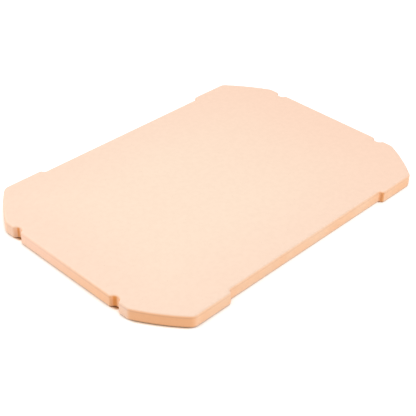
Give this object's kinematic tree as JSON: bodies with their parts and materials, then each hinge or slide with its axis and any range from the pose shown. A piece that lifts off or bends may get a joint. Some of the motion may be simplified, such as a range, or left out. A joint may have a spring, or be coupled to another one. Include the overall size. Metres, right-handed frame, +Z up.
{
  "type": "pizza stone",
  "caption": "Flat rectangular ceramic baking slab with bowed, cut-off corners, round notches in the short sides and long sides set back between end tabs.",
  "frame": {"origin": "middle of the underside, on the surface the slab lies on", "axes": "+X along the slab's length, +Y across it, +Z up out of the baking face"},
  "size_m": [0.42, 0.2976, 0.015],
  "materials": {
    "fired_ceramic": "matte, unglazed, fine-grained"
  },
  "bodies": {
    "root": {"baking_stone": "fired_ceramic"}
  },
  "joints": []
}
